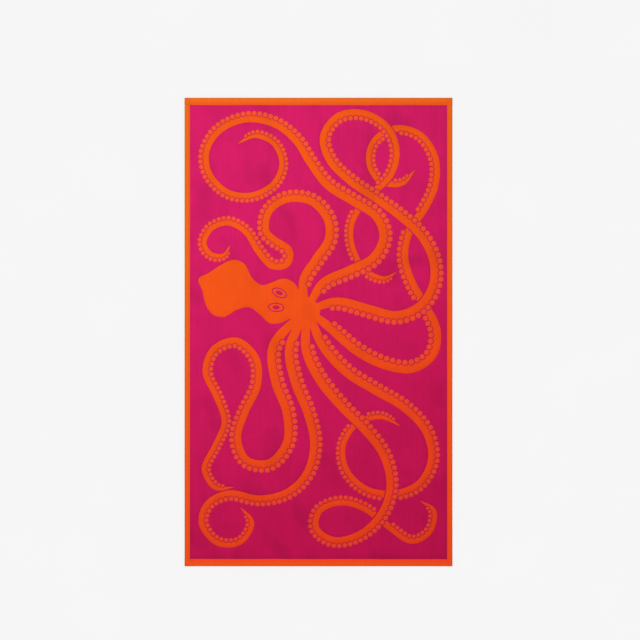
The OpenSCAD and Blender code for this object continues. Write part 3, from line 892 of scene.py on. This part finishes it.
magentaVelour = pileFinish("magentaVelour", dyeAndFalloff["magentaStart"], dyeAndFalloff["magentaEnd"],
                           mixed=dyeAndFalloff["mingled"])
orangeVelour = pileFinish("orangeVelour", dyeAndFalloff["orangeStart"], dyeAndFalloff["orangeEnd"], nap=0.7)
suckerVelour = pileFinish("suckerVelour", dyeAndFalloff["suckerStart"], dyeAndFalloff["suckerEnd"], nap=0.8)
orangeLoops = pileFinish("orangeLoops", dyeAndFalloff["orangeStart"], dyeAndFalloff["orangeEnd"], loops=True)
magentaLoops = pileFinish("magentaLoops", dyeAndFalloff["magentaStart"], dyeAndFalloff["magentaEnd"], loops=True)
hemWeave = hemFinish("hemWeave", dyeAndFalloff["hemStart"], dyeAndFalloff["hemEnd"])
plainWeave = clothFinish("plainWeave", (0.72, 0.10, 0.06, 1))
seamThread = threadFinish("seamThread", dyeAndFalloff["hemStart"], dyeAndFalloff["hemEnd"])


# suckers
print("suckers, hems and seams")
suckerMaker = suckerTree()
suckerRows = []
for k, row in enumerate(suckers):
    spots = addMesh("suckerSpots", [(q[0] * mm, q[1] * mm, faceZ * mm) for q in row])
    spots.data.attributes.new("radius", "FLOAT", "POINT").data.foreach_set(
        "value", np.array([(q[2] - towel["groove"] / 2) * mm for q in row], np.float32))
    suckerRows.append(applyTree("suckerRow%d" % (k + 1), spots, suckerMaker,
                                {"Height": towel["facePile"] * mm, "Rim": 0.07,
                                 "Finish": suckerVelour}))


# hems and seams
def hemSection(width):
    # folded band seen along its length: x outward from the inner edge, y up
    r, bend = hemHeight / 2, width - hemHeight / 2
    inner = towel["cloth"] / 2 + towel["hemSlack"]
    mid = hemZ + r
    soft = 0.3   # worn corner of a ply
    outline = [(soft, hemZ + hemHeight), (bend, hemZ + hemHeight)]
    outline += [(bend + r * math.sin(t), mid + r * math.cos(t))
                for t in np.linspace(0.25, math.pi - 0.25, 9)]
    outline += [(bend, hemZ), (soft, hemZ), (0, hemZ + soft), (0, mid - inner), (bend, mid - inner)]
    outline += [(bend + inner * math.sin(t), mid - inner * math.cos(t)) for t in (0.8, 1.6, 2.4)]
    outline += [(bend, mid + inner), (0, mid + inner), (0, hemZ + hemHeight - soft)]
    return outline


def hemPiece(name, width, path):
    # path runs along the hem's inner edge, with the folded edge on its right
    section = hemSection(width)
    profile = addMesh("hemSection", [(p[0] * mm, -p[1] * mm, 0) for p in section],
                      [(i, (i + 1) % len(section)) for i in range(len(section))])
    obj = applyTree(name, pathObject(name + "Path", [(p[0] * mm, p[1] * mm, 0) for p in path]),
                    hemMaker, {"Section": profile, "Finish": hemWeave})
    bpy.data.objects.remove(profile)
    work = bmesh.new()
    work.from_mesh(obj.data)
    bmesh.ops.remove_doubles(work, verts=work.verts[:], dist=1e-6)
    bmesh.ops.recalc_face_normals(work, faces=work.faces[:])
    work.to_mesh(obj.data)
    work.free()
    return obj


def hemStations(length, closeRows):
    rows = np.arange(-length / 2, length / 2 + 0.01, 5.0)
    if closeRows:
        rows = np.unique(np.concatenate([rows, foldRows]))
    return rows


hemMaker = hemTree()
sideRows = hemStations(fieldLength - 0.6, True)   # just clear of the end hems
endRows = hemStations(towel["width"], False)
hems = {
    "rightHem": hemPiece("rightHem", towel["sideHem"], [(fieldWidth / 2, y) for y in sideRows]),
    "leftHem": hemPiece("leftHem", towel["sideHem"], [(-fieldWidth / 2, y) for y in sideRows[::-1]]),
    "topHem": hemPiece("topHem", towel["endHem"], [(x, fieldLength / 2) for x in endRows[::-1]]),
    "bottomHem": hemPiece("bottomHem", towel["endHem"], [(x, -fieldLength / 2) for x in endRows]),
}

stitch = {"Pitch": 0.0036, "Length": 0.0031, "Thickness": 0.0005, "Slant": 0.10, "Finish": seamThread}
stitchMaker = stitchTree()
seamX = fieldWidth / 2 + towel["seamIn"]
seamY = fieldLength / 2 + towel["seamIn"]
seamStop = 4   # where a seam ends short of the hem's end
sideSeam = fieldLength / 2 - seamStop
endSeam = towel["width"] / 2 - hemHeight / 2 - seamStop
seamPaths = {
    "rightSeam": [(seamX, -sideSeam), (seamX, sideSeam)],
    "leftSeam": [(-seamX, -sideSeam), (-seamX, sideSeam)],
    "topSeam": [(-endSeam, seamY), (endSeam, seamY)],
    "bottomSeam": [(-endSeam, -seamY), (endSeam, -seamY)],
}
seams = {}
for name, (start, end) in seamPaths.items():
    rows = []
    for level in (hemZ + hemHeight + 0.05, hemZ - 0.02):
        path = pathObject(name + "Path", [(start[0] * mm, start[1] * mm, level * mm),
                                          (end[0] * mm, end[1] * mm, level * mm)])
        rows.append(applyTree(name, path, stitchMaker, stitch))
    joined = bmesh.new()
    for row in rows:
        joined.from_mesh(row.data)
    joined.to_mesh(rows[0].data)
    joined.free()
    bpy.data.objects.remove(rows[1])
    rows[0].name = name
    seams[name] = rows[0]


def dress(obj, material, slot, where, *nodes):
    obj.data.materials.clear()
    obj.data.materials.append(material)
    for polygon in obj.data.polygons:
        polygon.use_smooth = True
    if where == "fold":
        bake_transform(obj)
    else:
        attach(obj, where)
    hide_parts(*nodes)


def halves(part):
    return [part + "_lower", part + "_upper"]


dress(groundCloth, plainWeave, "ground_cloth", "fold", *halves("ground_cloth"))
dress(faceField, magentaVelour, "magenta_pile", "fold", *halves("face_field_pile"))
dress(backField, orangeLoops, "back_field_pile", "fold", *halves("back_field_pile"))
dress(backFigure, magentaLoops, "back_octopus_pile", "fold", *halves("back_octopus_pile"))
dress(faceParts["bodyPile"], orangeVelour, "orange_pile", "fold", "body_pile")
for k in range(8):
    where = "fold" if k == 3 else ("upper_half" if k < 3 else "lower_half")
    for obj, word, material, slotName in (
            (faceParts["armPile%d" % (k + 1)], "pile", orangeVelour, "orange_pile"),
            (suckerRows[k], "suckers", suckerVelour, "sucker_pile")):
        part = "arm_%d_%s" % (k + 1, word)
        dress(obj, material, slotName, where, *(halves(part) if where == "fold" else [part]))
for eye in (1, 2):
    for part, material, slotName in (("Ring", magentaVelour, "magenta_pile"),
                                     ("Iris", orangeVelour, "orange_pile"),
                                     ("Pupil", magentaVelour, "magenta_pile")):
        dress(faceParts["eye%d%s" % (eye, part)], material, slotName, "upper_half",
              "eye_%d_%s" % (eye, part.lower()))
for side, where in (("left", "fold"), ("right", "fold"),
                    ("top", "upper_half"), ("bottom", "lower_half")):
    for obj, part, material, slotName in (
            (hems[side + "Hem"], side + "_hem", hemWeave, "flat_woven_hem"),
            (seams[side + "Seam"], side + "_hem_seam", seamThread, "sewing_thread")):
        dress(obj, material, slotName, where, *(halves(part) if where == "fold" else [part]))
towelPieces = ([groundCloth, faceField, backField, backFigure] + list(faceParts.values())
               + suckerRows + list(hems.values()) + list(seams.values()))


# floor, light and camera
def makeFloor():
    reach, level = 30, -0.0004
    obj = addMesh("floor", [(-reach, -reach, level), (reach, -reach, level), (reach, reach, level),
                            (-reach, reach, level)], [], [(0, 1, 2, 3)])
    material, board, shader = newFinish("paleFloor")
    place = board.node("ShaderNodeTexCoord", out="Object")
    grain = board.noise(place, 3.0, 2.0, 0.5, flat=False)
    board.feed(shader.inputs["Base Color"], board.blendColour(grain, (0.79, 0.79, 0.79, 1),
                                                              (0.81, 0.81, 0.81, 1)))
    board.feed(shader.inputs["Roughness"], 0.9 + grain * 0.05)
    shader.inputs["Specular IOR Level"].default_value = 0.0
    obj.data.materials.append(material)
    return obj


light = {"world": 0.45, "floorSun": 2.21, "sunAngle": 50,
         "keyPower": 62, "keyPlace": (-0.5, 0.6, 2.95), "keySize": 0.9}


def aim(obj, target):
    obj.rotation_euler = (Vector(target) - obj.location).to_track_quat("-Z", "Y").to_euler()


def makeLights(floor):
    world = bpy.data.worlds.new("studio")
    bpy.context.scene.world = world
    world.use_nodes = True
    sky = world.node_tree.nodes["Background"]
    sky.inputs[0].default_value = (1, 1, 1, 1)
    sky.inputs[1].default_value = light["world"]
    sun = bpy.data.objects.new("floorSun", bpy.data.lights.new("floorSun", "SUN"))
    sun.data.energy, sun.data.angle = light["floorSun"], math.radians(light["sunAngle"])
    key = bpy.data.objects.new("softKey", bpy.data.lights.new("softKey", "AREA"))
    key.data.energy, key.data.size = light["keyPower"], light["keySize"]
    key.location = light["keyPlace"]
    aim(key, (light["keyPlace"][0], light["keyPlace"][1], 0))
    for lamp, receivers in ((sun, [floor]), (key, towelPieces)):
        bpy.context.scene.collection.objects.link(lamp)
        group = bpy.data.collections.new(lamp.name + "Receivers")
        for obj in receivers:
            group.objects.link(obj)
        lamp.light_linking.receiver_collection = group


view = {"lens": 85, "sensor": 36, "span": 2.391, "aside": 0.0056, "along": 0.0449}


def makeCamera():
    # straight above, as high as it takes to see the span at the level of the pile
    camera = addObject("camera", bpy.data.cameras.new("camera"))
    camera.data.lens, camera.data.sensor_width = view["lens"], view["sensor"]
    camera.data.clip_end = 100
    pileTop = (faceZ + towel["facePile"]) * mm
    camera.location = (view["aside"], view["along"],
                       view["span"] * view["lens"] / view["sensor"] + pileTop)
    bpy.context.scene.camera = camera


floor = makeFloor()
makeLights(floor)
makeCamera()
bpy.context.scene.view_settings.view_transform = "Standard"
print("triangles:", sum(sum(len(p.vertices) - 2 for p in o.data.polygons) for o in towelPieces))
